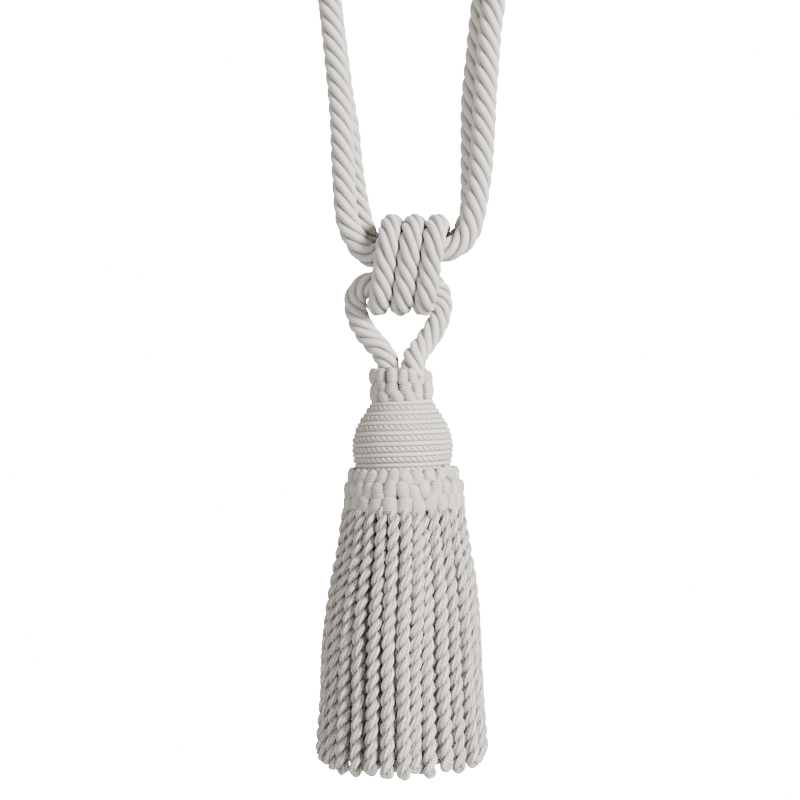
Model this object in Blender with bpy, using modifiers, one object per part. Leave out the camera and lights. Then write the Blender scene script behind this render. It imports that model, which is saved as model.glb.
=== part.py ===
"""A curtain tieback: a doubled rope embrace that carries a bullion tassel on a three-turn knot.

Metres, +Z up, the front faces -Y. The origin is midway between the two eyes, level with the inside of
their tops, where wall hooks or a rail carry them. Tables are in millimetres, from the knot's middle.
"""

import math
import random

import bmesh
import bpy
import numpy as np

MM = 0.001

# Laid rope
LAY = 0.0248
RINGS_PER_LAY = 7
RING_STEP = LAY / RINGS_PER_LAY
STRANDS = 4
GROOVE = 0.17
EMBRACE_RADIUS = 0.00475
LOOP_RADIUS = 0.0044
COIL_RADIUS = 0.00435
SPLINE_STEPS = 24

# Embrace rope: the front and back runs of each side, and the eyes over the hooks
KNOT_DROP = 266.0
RUN_DEPTH = 4.95
RUN_HEIGHT = 6.2
EYE_ACROSS = 49.5
EYE_RADIUS = 11.0
EYE_STEPS = 7
EYE_OPEN_ANGLE = math.radians(20)
BUTT_GAP = 1.0

# Columns: across, height
LEFT_FRONT = (
    (-8.0, 6.2),
    (-12.0, 6.6),
    (-16.4, 9.0),
    (-19.6, 13.0),
    (-21.4, 18.4),
    (-22.6, 30.0),
    (-23.6, 42.8),
    (-24.0, 55.6),
    (-25.0, 68.8),
    (-26.4, 82.8),
    (-28.8, 106.0),
    (-34.2, 150.0),
    (-41.0, 200.0),
    (-45.6, 232.0),
)
LEFT_BACK = (
    (-8.4, 6.4),
    (-12.6, 9.6),
    (-15.6, 15.6),
    (-17.4, 22.8),
    (-18.8, 30.0),
    (-20.6, 42.8),
    (-21.8, 55.6),
    (-24.1, 68.8),
    (-25.9, 82.8),
    (-29.0, 106.0),
    (-34.4, 150.0),
    (-41.2, 200.0),
    (-45.6, 232.0),
)
RIGHT_FRONT = (
    (17.2, 6.0),
    (22.4, 8.4),
    (26.0, 12.8),
    (28.0, 18.8),
    (29.4, 24.5),
    (31.2, 36.4),
    (32.4, 52.8),
    (33.0, 66.0),
    (34.0, 79.6),
    (35.0, 92.8),
    (36.8, 106.0),
    (41.0, 150.0),
    (45.4, 200.0),
    (48.0, 232.0),
)
RIGHT_BACK = (
    (18.6, 6.8),
    (23.0, 10.6),
    (25.8, 15.6),
    (27.6, 20.8),
    (28.1, 28.0),
    (28.2, 39.6),
    (28.2, 50.0),
    (28.4, 66.0),
    (30.0, 82.8),
    (32.4, 106.0),
    (38.0, 150.0),
    (44.0, 200.0),
    (47.8, 232.0),
)

# Knot coil: three turns held taut round the two runs and the loop's top
LOOP_TOP_HEIGHT = -6.65
COIL_OFFSET = 9.4
COIL_ACROSS = -10.2
COIL_PITCH = 9.0
COIL_LEAN = 0.75
COIL_START = -0.02
COIL_END = 2.71
COIL_POINTS_PER_TURN = 40

# Tassel loop, from the neck ruff through the coil and back. Columns: across, depth, height, girth
TASSEL_LOOP = (
    (-5.6, -1.0, -40.8, 1.0),
    (-5.6, -1.0, -38.4, 1.0),
    (-7.4, -0.5, -34.4, 1.0),
    (-10.6, 0.5, -30.8, 1.0),
    (-13.8, 2.0, -27.2, 1.0),
    (-17.2, 4.0, -20.8, 1.0),
    (-18.2, 4.6, -13.8, 1.0),
    (-16.0, 3.0, -8.8, 1.0),
    (-11.2, 0.8, -6.8, 1.0),
    (-5.0, 0.0, -6.65, 1.0),
    (5.0, 0.0, -6.65, 1.0),
    (11.2, 0.6, -6.9, 0.97),
    (15.0, 2.2, -9.4, 0.93),
    (16.6, 3.6, -14.4, 0.93),
    (15.4, 3.4, -20.6, 0.97),
    (12.6, 2.0, -26.2, 1.0),
    (8.8, 0.4, -32.0, 1.0),
    (5.2, -0.9, -36.0, 1.0),
    (4.3, -1.4, -38.6, 1.0),
    (4.3, -1.4, -40.8, 1.0),
)

# Ruffs. Columns of an outline: radius, height
NECK_OUTLINE = (
    (0.0, -41.2),
    (10.6, -41.2),
    (12.2, -42.2),
    (12.9, -45.0),
    (12.3, -48.0),
    (13.0, -51.2),
    (12.0, -54.2),
    (10.8, -54.7),
    (0.0, -54.7),
)
NECK_ROW_LEVELS = (2, 4, 6)
NECK_STITCHES = 17
SKIRT_RUFF_OUTLINE = (
    (20.5, -81.0),
    (21.6, -80.8),
    (23.2, -84.4),
    (23.4, -86.6),
    (24.3, -90.0),
    (24.0, -92.4),
    (24.2, -95.4),
    (22.6, -96.8),
    (19.4, -96.8),
)
SKIRT_ROW_LEVELS = (1, 3, 5, 7)
SKIRT_STITCHES = 32
STITCH_SEGMENTS = 3
STITCH_RISE = 1.1
STITCH_LEAN = 0.3

# Head mould: pairs of a twisted and a smooth cord wound up the turned form
MOULD_TOP = -55.0
MOULD_FOOT = -96.8
MOULD_FOOT_RADIUS = 18.9
MOULD_STEPS = 28
WIND_PITCH = 4.16
TWISTED_SHARE = 0.56
CORD_RISE = 0.6
# Columns: height, radius
MOULD_FORM = (
    (-55.0, 12.1),
    (-58.0, 13.9),
    (-61.0, 15.7),
    (-64.0, 17.4),
    (-67.0, 18.6),
    (-70.0, 19.3),
    (-73.0, 19.6),
    (-76.0, 19.4),
    (-79.0, 18.9),
    (-81.5, 18.6),
)
MOULD_WOUND_TO = -81.5

# Bullion skirt: cords fused at their roots into one heading
HEADING = ((15.6, -97.1), (24.3, -97.1), (24.3, -99.4), (15.6, -99.4))
HEADING_STEPS = 60
ROOT_HEIGHT = -98.2
CORD_END = -198.6
END_SPREAD = 1.8
WANDER = 0.28
SEED = 7
# Columns: cords, turned by this share of a step, root radius, half width at the root, half width at the end
CORD_RINGS = (
    (30, 0.0, 22.5, 2.15, 2.75),
    (30, 0.5, 18.6, 1.75, 2.4),
)
# Columns: share of the length, outward from the root
SKIRT_FLARE = (
    (0.0, 0.0),
    (0.05, 0.6),
    (0.18, 2.7),
    (0.36, 5.4),
    (0.58, 7.2),
    (0.985, 9.55),
    (1.0, 9.55),
)
SWELLED_BY = 0.5
WANDERING_FROM = 0.33
END_TAPER = 0.55

# Colours: red, green, blue, alpha
ROPE_COLOUR = (0.60, 0.57, 0.53, 1.0)
RUFF_COLOUR = (0.62, 0.59, 0.55, 1.0)
MOULD_COLOUR = (0.58, 0.55, 0.51, 1.0)
BULLION_COLOUR = (0.56, 0.53, 0.48, 1.0)


def clear_scene():
    for item in list(bpy.data.objects):
        bpy.data.objects.remove(item)


def make_material(name, colour, roughness):
    material = bpy.data.materials.new(name)
    material.use_nodes = True
    shader = material.node_tree.nodes["Principled BSDF"]
    shader.inputs["Base Color"].default_value = colour
    shader.inputs["Roughness"].default_value = roughness
    shader.inputs["Metallic"].default_value = 0.0
    return material


def place(across, depth, height):
    """A table's position, in millimetres from the knot's middle, in the part's own metres."""
    return (across * MM, depth * MM, (height - KNOT_DROP) * MM)


def spline_between(before, start, end, after):
    """Points of a centripetal Catmull-Rom span from start up to end, without end itself."""
    knots = [0.0]
    for first, second in ((before, start), (start, end), (end, after)):
        knots.append(knots[-1] + math.sqrt(np.linalg.norm(second[:3] - first[:3])))
    t = np.linspace(knots[1], knots[2], SPLINE_STEPS, endpoint=False)[:, None]

    def blend(low, high, low_knot, high_knot):
        return (low * (high_knot - t) + high * (t - low_knot)) / (high_knot - low_knot)

    one = blend(before, start, knots[0], knots[1])
    two = blend(start, end, knots[1], knots[2])
    three = blend(end, after, knots[2], knots[3])
    return blend(blend(one, two, knots[0], knots[2]), blend(two, three, knots[1], knots[3]), *knots[1:3])


def smooth_route(rows, step):
    """Even steps along a smooth curve through the rows; columns past the third ride along."""
    rows = np.array(rows, float)
    rows = np.vstack([2 * rows[0] - rows[1], rows, 2 * rows[-1] - rows[-2]])
    spans = [spline_between(*rows[i : i + 4]) for i in range(len(rows) - 3)]
    fine = np.vstack([*spans, rows[-2]])
    gaps = np.linalg.norm(np.diff(fine[:, :3], axis=0), axis=1)
    along = np.concatenate([[0.0], np.cumsum(gaps)])
    marks = np.linspace(0, along[-1], round(along[-1] / step) + 1)
    return np.column_stack([np.interp(marks, along, column) for column in fine.T])


def strand_profile(guides):
    """The rope's outline at unit radius: a ridge for each strand and a groove between."""
    curve = bpy.data.curves.new("strand_profile", "CURVE")
    curve.dimensions = "2D"
    spline = curve.splines.new("POLY")
    spline.points.add(2 * STRANDS - 1)
    for index, point in enumerate(spline.points):
        angle = -math.pi * index / STRANDS
        reach = 1 - GROOVE * (index % 2)
        point.co = (reach * math.cos(angle), reach * math.sin(angle), 0, 1)
    spline.use_cyclic_u = True
    profile = bpy.data.objects.new("strand_profile", curve)
    hide_guide(profile, guides)
    return profile


def hide_guide(item, guides):
    guides.objects.link(item)
    item.hide_render = True
    item.display_type = "WIRE"


def make_curve(name):
    curve = bpy.data.curves.new(name, "CURVE")
    curve.dimensions = "3D"
    curve.twist_mode = "MINIMUM"
    curve.use_fill_caps = True
    return curve


def laid_rope(name, route, radius, material, profile, parts):
    """A rope swept along a route in metres, its strands turned a little further at each ring."""
    curve = make_curve(name)
    curve.bevel_mode = "OBJECT"
    curve.bevel_object = profile
    spline = curve.splines.new("POLY")
    spline.points.add(len(route) - 1)
    for index, (point, row) in enumerate(zip(spline.points, route)):
        point.co = (row[0], row[1], row[2], 1)
        point.radius = radius * (row[3] if len(row) > 3 else 1)
        point.tilt = -2 * math.pi * index / RINGS_PER_LAY
    rope = bpy.data.objects.new(name, curve)
    parts.objects.link(rope)
    curve.materials.append(material)
    weld = rope.modifiers.new("close the ends", "WELD")
    weld.merge_threshold = 0.00001
    facets = rope.modifiers.new("facets along the lay", "TRIANGULATE")
    facets.quad_method = "SHORTEST_DIAGONAL"
    return rope


def eye_rows(across, way):
    """The bight over a hook. Way is 1 from the back run to the front run, and -1 the other way."""
    middle = KNOT_DROP + EMBRACE_RADIUS / MM - EYE_RADIUS
    rows = []
    for angle in np.linspace(-EYE_OPEN_ANGLE, math.pi + EYE_OPEN_ANGLE, EYE_STEPS):
        depth = way * EYE_RADIUS * math.cos(angle)
        rows.append((across, depth, middle + EYE_RADIUS * math.sin(angle)))
    return rows


def run_rows(table, depth):
    return [(across, depth, height) for across, height in table]


def embrace_route():
    """Knot, up the left back run, over the eye, down the front, through, and the same on the right."""
    rows = [(-BUTT_GAP / 2, RUN_DEPTH, RUN_HEIGHT)]
    rows += run_rows(LEFT_BACK, RUN_DEPTH)
    rows += eye_rows(-EYE_ACROSS, 1)
    rows += reversed(run_rows(LEFT_FRONT, -RUN_DEPTH))
    rows += [(-3.0, -RUN_DEPTH, RUN_HEIGHT), (8.0, -RUN_DEPTH, RUN_HEIGHT)]
    rows += run_rows(RIGHT_FRONT, -RUN_DEPTH)
    rows += eye_rows(EYE_ACROSS, -1)
    rows += reversed(run_rows(RIGHT_BACK, RUN_DEPTH))
    rows += [(10.0, RUN_DEPTH, RUN_HEIGHT), (BUTT_GAP / 2, RUN_DEPTH, RUN_HEIGHT)]
    return rows


def taut_outline(centres, offset):
    """The closed line drawn taut round equal circles, as even points from the lowest one on.

    The centres go counter-clockwise, and the line comes back clockwise.
    """
    outline = []
    count = len(centres)
    for index, centre in enumerate(centres):
        before = centre - centres[index - 1]
        after = centres[(index + 1) % count] - centre
        start = math.atan2(-before[0], before[1])
        end = math.atan2(-after[0], after[1])
        if end < start:
            end += 2 * math.pi
        for angle in np.linspace(start, end, SPLINE_STEPS):
            outline.append(centre + offset * np.array([math.cos(angle), math.sin(angle)]))
    outline.reverse()
    lowest = min(range(len(outline)), key=lambda index: outline[index][1])
    outline = np.array(outline[lowest:] + outline[: lowest + 1])
    along = np.concatenate([[0.0], np.cumsum(np.linalg.norm(np.diff(outline, axis=0), axis=1))])
    marks = np.linspace(0, along[-1], COIL_POINTS_PER_TURN, endpoint=False)
    return np.column_stack([np.interp(marks, along, column) for column in outline.T])


def coil_route():
    """Turns that climb the front and go down the back, leaning more in front than behind."""
    corners = ((-RUN_DEPTH, RUN_HEIGHT), (0.0, LOOP_TOP_HEIGHT), (RUN_DEPTH, RUN_HEIGHT))
    outline = taut_outline([np.array(corner) for corner in corners], COIL_OFFSET)
    rows = []
    first = round(COIL_START * COIL_POINTS_PER_TURN)
    last = round(COIL_END * COIL_POINTS_PER_TURN)
    for index in range(first, last + 1):
        turn = index / COIL_POINTS_PER_TURN
        across = COIL_ACROSS + COIL_PITCH * turn + COIL_LEAN * (1 - math.cos(2 * math.pi * turn))
        depth, height = outline[index % COIL_POINTS_PER_TURN]
        rows.append((across, depth, height))
    return rows


def in_metres(rows):
    return [(*place(*row[:3]), *row[3:]) for row in rows]


def turned_mesh(outline, steps, closed):
    """An outline of radius and height spun round the tassel's axis into a bmesh."""
    shape = bmesh.new()
    points = [shape.verts.new(place(radius, 0, height)) for radius, height in outline]
    edges = [shape.edges.new(pair) for pair in zip(points, points[1:])]
    if closed:
        edges.append(shape.edges.new((points[-1], points[0])))
    bmesh.ops.spin(
        shape,
        geom=points + edges,
        cent=(0, 0, 0),
        axis=(0, 0, 1),
        angle=2 * math.pi,
        steps=steps,
        use_merge=True,
    )
    bmesh.ops.remove_doubles(shape, verts=shape.verts, dist=0.00001)
    bmesh.ops.recalc_face_normals(shape, faces=shape.faces)
    return shape


def mesh_object(name, shape, material, parts):
    mesh = bpy.data.meshes.new(name)
    shape.to_mesh(mesh)
    shape.free()
    mesh.materials.append(material)
    mesh.shade_smooth()
    mesh.set_sharp_from_angle(angle=math.radians(40))
    item = bpy.data.objects.new(name, mesh)
    parts.objects.link(item)
    return item


def stitched_ruff(name, outline, row_levels, stitches, closed, material, parts):
    """A collar whose rows of stitches are raised, and lean one way and then the other."""
    steps = stitches * STITCH_SEGMENTS
    shape = turned_mesh(outline, steps, closed)
    heights = [place(0, 0, outline[level][1])[2] for level in row_levels]
    for vertex in shape.verts:
        radius = math.hypot(vertex.co.x, vertex.co.y)
        row = sum(vertex.co.z <= height + 0.00001 for height in heights) - 1
        if row < 0 or vertex.co.z < heights[-1] - 0.00001 or radius < outline[1][0] * MM * 0.9:
            continue
        top = heights[row]
        bottom = heights[min(row + 1, len(heights) - 1)]
        down = (top - vertex.co.z) / (top - bottom) if top > bottom else 0.0
        angle = math.atan2(vertex.co.y, vertex.co.x)
        beside = (angle / (2 * math.pi) * stitches) % 1
        radius += STITCH_RISE * MM * abs(math.sin(math.pi * beside)) * math.sin(math.pi * down)
        swing = (1 - down) if row % 2 else down
        angle += STITCH_LEAN * swing * 2 * math.pi / stitches
        vertex.co.x = radius * math.cos(angle)
        vertex.co.y = radius * math.sin(angle)
    return mesh_object(name, shape, material, parts)


def mould_outline():
    """Radius and height down the wound head, a ridge for each cord, then the plain foot."""
    heights = [row[0] for row in MOULD_FORM][::-1]
    radii = [row[1] for row in MOULD_FORM][::-1]
    outline = [(0.0, MOULD_TOP)]
    turns = int((MOULD_TOP - MOULD_WOUND_TO) / WIND_PITCH)
    for turn in range(turns):
        top = MOULD_TOP - turn * WIND_PITCH
        for share, rise in (
            (0.0, 0.0),
            (TWISTED_SHARE / 2, CORD_RISE),
            (TWISTED_SHARE, 0.0),
            ((1 + TWISTED_SHARE) / 2, CORD_RISE),
        ):
            height = top - share * WIND_PITCH
            outline.append((float(np.interp(height, heights, radii)) + rise, height))
    outline.append((MOULD_FOOT_RADIUS, MOULD_WOUND_TO))
    outline.append((MOULD_FOOT_RADIUS, MOULD_FOOT))
    outline.append((0.0, MOULD_FOOT))
    return outline


def head_mould(material, parts):
    """The turned head: the outline on +X from top to bottom, swept round by a Screw modifier."""
    mesh = bpy.data.meshes.new("head_mould")
    points = [place(radius, 0, height) for radius, height in mould_outline()]
    edges = [(index, index + 1) for index in range(len(points) - 1)]
    mesh.from_pydata(points, edges, [])
    mesh.materials.append(material)
    mould = bpy.data.objects.new("head_mould", mesh)
    parts.objects.link(mould)
    screw = mould.modifiers.new("turned", "SCREW")
    screw.steps = MOULD_STEPS
    screw.render_steps = MOULD_STEPS
    screw.use_merge_vertices = True
    screw.merge_threshold = 0.00001
    screw.use_smooth_shade = True
    return mould


def bullion_cord(curve, angle, root_radius, root_girth, end_girth, chance):
    """One four-sided strand, from inside the heading down to its rounded end."""
    spline = curve.splines.new("POLY")
    spline.points.add(len(SKIRT_FLARE) - 1)
    drop = CORD_END - ROOT_HEIGHT + chance.uniform(-END_SPREAD, END_SPREAD)
    phase = chance.uniform(0, 2 * math.pi)
    for point, (share, out) in zip(spline.points, SKIRT_FLARE):
        radius = root_radius + out
        loose = min(1, share / WANDERING_FROM)
        swing = WANDER * loose * math.sin(phase + 2.2 * math.pi * share) / radius
        across = radius * math.sin(angle + swing)
        depth = -radius * math.cos(angle + swing)
        point.co = (*place(across, depth, ROOT_HEIGHT + drop * share), 1)
        girth = root_girth + (end_girth - root_girth) * min(1, share / SWELLED_BY)
        point.radius = girth * MM
    spline.points[-1].radius *= END_TAPER


def curve_to_mesh(item, name):
    """The curve's evaluated tube as a mesh object with its caps welded, in place of the curve."""
    graph = bpy.context.evaluated_depsgraph_get()
    mesh = bpy.data.meshes.new_from_object(item.evaluated_get(graph))
    shape = bmesh.new()
    shape.from_mesh(mesh)
    bmesh.ops.remove_doubles(shape, verts=shape.verts, dist=0.000001)
    bmesh.ops.recalc_face_normals(shape, faces=shape.faces)
    shape.to_mesh(mesh)
    shape.free()
    made = bpy.data.objects.new(name, mesh)
    made.matrix_world = item.matrix_world
    bpy.data.objects.remove(item)
    return made


def bullion_skirt(material, parts, guides):
    """Two rings of cords joined to the heading that their roots are sewn into."""
    chance = random.Random(SEED)
    curve = make_curve("bullion_cords")
    curve.bevel_depth = 1.0
    curve.bevel_resolution = 0
    for cords, turned, root_radius, root_girth, end_girth in CORD_RINGS:
        for index in range(cords):
            angle = 2 * math.pi * (index + turned) / cords
            bullion_cord(curve, angle, root_radius, root_girth, end_girth, chance)
    tubes = bpy.data.objects.new("bullion_cords", curve)
    parts.objects.link(tubes)
    cords = curve_to_mesh(tubes, "bullion_cords")
    hide_guide(cords, guides)
    heading = turned_mesh(HEADING, HEADING_STEPS, True)
    skirt = mesh_object("bullion_skirt", heading, material, parts)
    join = skirt.modifiers.new("roots in the heading", "BOOLEAN")
    join.operation = "UNION"
    join.solver = "EXACT"
    join.object = cords
    return skirt


def main():
    clear_scene()
    parts = bpy.data.collections.new("curtain_tieback")
    guides = bpy.data.collections.new("guides")
    bpy.context.scene.collection.children.link(parts)
    bpy.context.scene.collection.children.link(guides)
    rope = make_material("rope yarn", ROPE_COLOUR, 0.75)
    ruff = make_material("ruff thread", RUFF_COLOUR, 0.8)
    mould = make_material("wound cord", MOULD_COLOUR, 0.7)
    bullion = make_material("bullion yarn", BULLION_COLOUR, 0.8)
    profile = strand_profile(guides)
    for name, rows, radius in (
        ("embrace_rope", embrace_route(), EMBRACE_RADIUS),
        ("knot_coil", coil_route(), COIL_RADIUS),
        ("tassel_loop", TASSEL_LOOP, LOOP_RADIUS),
    ):
        route = smooth_route(in_metres(rows), RING_STEP)
        laid_rope(name, route, radius, rope, profile, parts)
    stitched_ruff("neck_ruff", NECK_OUTLINE, NECK_ROW_LEVELS, NECK_STITCHES, False, ruff, parts)
    head_mould(mould, parts)
    stitched_ruff(
        "skirt_ruff", SKIRT_RUFF_OUTLINE, SKIRT_ROW_LEVELS, SKIRT_STITCHES, True, ruff, parts
    )
    bullion_skirt(bullion, parts, guides)


main()
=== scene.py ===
"""A curtain tieback as it hangs: laid rope, a three-turn knot, a cord-wound mould and a bullion tassel.

Metres, +Z up, the front faces -Y. Tables are in millimetres from the knot's middle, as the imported
model has them, and place() turns them into metres below the two eyes.
"""

from __future__ import annotations

import logging
import math
import random
from dataclasses import dataclass, field
from enum import Enum

import bpy
import numpy as np
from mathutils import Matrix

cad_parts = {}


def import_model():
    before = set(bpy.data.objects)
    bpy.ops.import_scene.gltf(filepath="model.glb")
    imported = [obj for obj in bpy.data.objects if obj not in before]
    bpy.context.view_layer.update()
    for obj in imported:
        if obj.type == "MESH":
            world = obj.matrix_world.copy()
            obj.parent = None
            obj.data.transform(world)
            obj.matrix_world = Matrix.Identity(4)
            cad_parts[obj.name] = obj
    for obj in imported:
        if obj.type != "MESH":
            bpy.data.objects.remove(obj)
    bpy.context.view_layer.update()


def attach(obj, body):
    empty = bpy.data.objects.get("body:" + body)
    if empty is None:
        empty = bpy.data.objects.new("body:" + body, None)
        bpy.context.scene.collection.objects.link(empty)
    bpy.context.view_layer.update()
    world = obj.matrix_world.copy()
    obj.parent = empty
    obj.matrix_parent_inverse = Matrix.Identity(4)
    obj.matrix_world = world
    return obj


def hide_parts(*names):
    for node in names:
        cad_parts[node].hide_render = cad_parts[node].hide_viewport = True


LOG = logging.getLogger("curtain_tieback")

MM = 0.001
FULL_TURN = 2 * math.pi
CIRCLE = 360.0
KNOT_DROP = 266.0
SPLINE_STEPS = 24
NO_LENGTH = 1e-12
TURNED_SIDES = 96
SMOOTH_UP_TO = math.radians(40)
# Painted shade on a yarn's side, darker the further it turns in from its crown: 1 - cos of the angle from
# its crown, times the first number and less the second
PAINTED_SHADE_SPREAD = 1.5
PAINTED_SHADE_START = 0.25
# Where a finish's ramp is still dark, and where it is fully light
RAMP_ENDS = (0.25, 0.75)

Triple = tuple[float, float, float]
Pair = tuple[float, float]
Pairs = tuple[Pair, ...]
Rows = list[tuple[float, ...]]
Piece = bpy.types.Object
Socket = bpy.types.NodeSocket


class Hand(Enum):
    """The way a yarn is twisted, as the slope of its ridges on the front shows."""

    S = -1
    Z = 1


class Shade(Enum):
    """The tones that the yarn comes in, by the piece that it is made into."""

    ROPE = "rope"
    RUFF = "ruff"
    MOULD = "mould"
    BULLION = "bullion"


def place(across: float, depth: float, height: float) -> Triple:
    """Millimetres to the right, back and up from the knot's middle, as metres below the eyes."""
    return (across * MM, depth * MM, (height - KNOT_DROP) * MM)


def in_metres(rows: Rows) -> Rows:
    """The rows with their first three columns placed, and any later column as it was."""
    return [(*place(*row[:3]), *row[3:]) for row in rows]


def spline_between(*corners: np.ndarray) -> np.ndarray:
    """Points of a centripetal Catmull-Rom span.

    Args:
        corners: the row before the span, its start, its end and the row after it.

    Returns:
        Points from the start up to the end, without the end itself.
    """
    knots = [0.0]
    for first, second in zip(corners, corners[1:]):
        knots.append(knots[-1] + math.sqrt(np.linalg.norm(second[:3] - first[:3])))
    t = np.linspace(knots[1], knots[2], SPLINE_STEPS, endpoint=False)[:, None]

    def blend(low: np.ndarray, high: np.ndarray, from_knot: float, to_knot: float) -> np.ndarray:
        """A straight mix of two points or lines between two knots."""
        return (low * (to_knot - t) + high * (t - from_knot)) / (to_knot - from_knot)

    before, start, end, after = corners
    one = blend(before, start, knots[0], knots[1])
    two = blend(start, end, knots[1], knots[2])
    three = blend(end, after, knots[2], knots[3])
    early = blend(one, two, knots[0], knots[2])
    late = blend(two, three, knots[1], knots[3])
    return blend(early, late, knots[1], knots[2])


def smooth_route(rows: Rows, step: float) -> np.ndarray:
    """Even steps along a smooth curve through the rows.

    Args:
        rows: points, whose columns past the third ride along.
        step: the distance between two points of the result.

    Returns:
        One row for each step, with as many columns as the rows have.
    """
    table = np.array(rows, float)
    table = np.vstack([2 * table[0] - table[1], table, 2 * table[-1] - table[-2]])
    spans = [spline_between(*table[i : i + 4]) for i in range(len(table) - 3)]
    return in_steps(np.vstack([*spans, table[-2]]), step)


def in_steps(fine: np.ndarray, step: float) -> np.ndarray:
    """A fine line's points again, in even steps.

    Args:
        fine: the line, whose columns past the third ride along.
        step: roughly the distance between two points of the result.

    Returns:
        One row for each step.
    """
    along = distance_along(fine)
    marks = np.linspace(0, along[-1], round(along[-1] / step) + 1)
    return np.column_stack([np.interp(marks, along, column) for column in fine.T])


def distance_along(points: np.ndarray) -> np.ndarray:
    """How far along the line each of its points lies."""
    gaps = np.linalg.norm(np.diff(points[:, :3], axis=0), axis=1)
    return np.concatenate([[0.0], np.cumsum(gaps)])


def unit(vectors: np.ndarray) -> np.ndarray:
    """The vectors at length one."""
    return vectors / np.maximum(np.linalg.norm(vectors, axis=-1, keepdims=True), NO_LENGTH)


def between(ends: Pair, share: float | np.ndarray) -> float | np.ndarray:
    """The value at this share of the way from the first end to the second."""
    return ends[0] + (ends[1] - ends[0]) * share


def turned(turns: np.ndarray, first: np.ndarray, second: np.ndarray) -> np.ndarray:
    """The first directions turned towards the second ones by these turns."""
    angle = (FULL_TURN * turns)[:, None]
    return np.cos(angle) * first + np.sin(angle) * second


def either_way(chance: random.Random, by: float) -> float:
    """A random number from -by to by."""
    return chance.uniform(-by, by)


def linked(name: str, data: bpy.types.ID) -> Piece:
    """Puts a new object in the scene.

    Args:
        name: the object's name.
        data: its mesh, light or camera.

    Returns:
        The object.
    """
    item = bpy.data.objects.new(name, data)
    bpy.context.scene.collection.objects.link(item)
    return item


def carried_frames(points: np.ndarray, first: Triple) -> tuple[np.ndarray, np.ndarray]:
    """Two directions across a line, carried along it without any twist.

    Args:
        points: the line's points.
        first: roughly the first direction at the line's start.

    Returns:
        The first and the second direction at each point. With the way along, they are right-handed.
    """
    ways = unit(np.gradient(points, axis=0))
    sides = np.zeros_like(points)
    side = np.array(first, float)
    for index, way in enumerate(ways):
        side = side - np.dot(side, way) * way
        side /= np.linalg.norm(side)
        sides[index] = side
    return sides, np.cross(ways, sides)


@dataclass
class Section:
    """A yarn's cross-section: an ellipse, with a dip on its crown where it is made of finer yarns, painted
    shade in it.
    """

    outward: float
    sideways: float
    sides: int = 14
    lobes: int = 0
    lobe_depth: float = 0.0
    lobe_lay: float = 0.02
    lobe_painted_shade: float = 0.0


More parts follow.
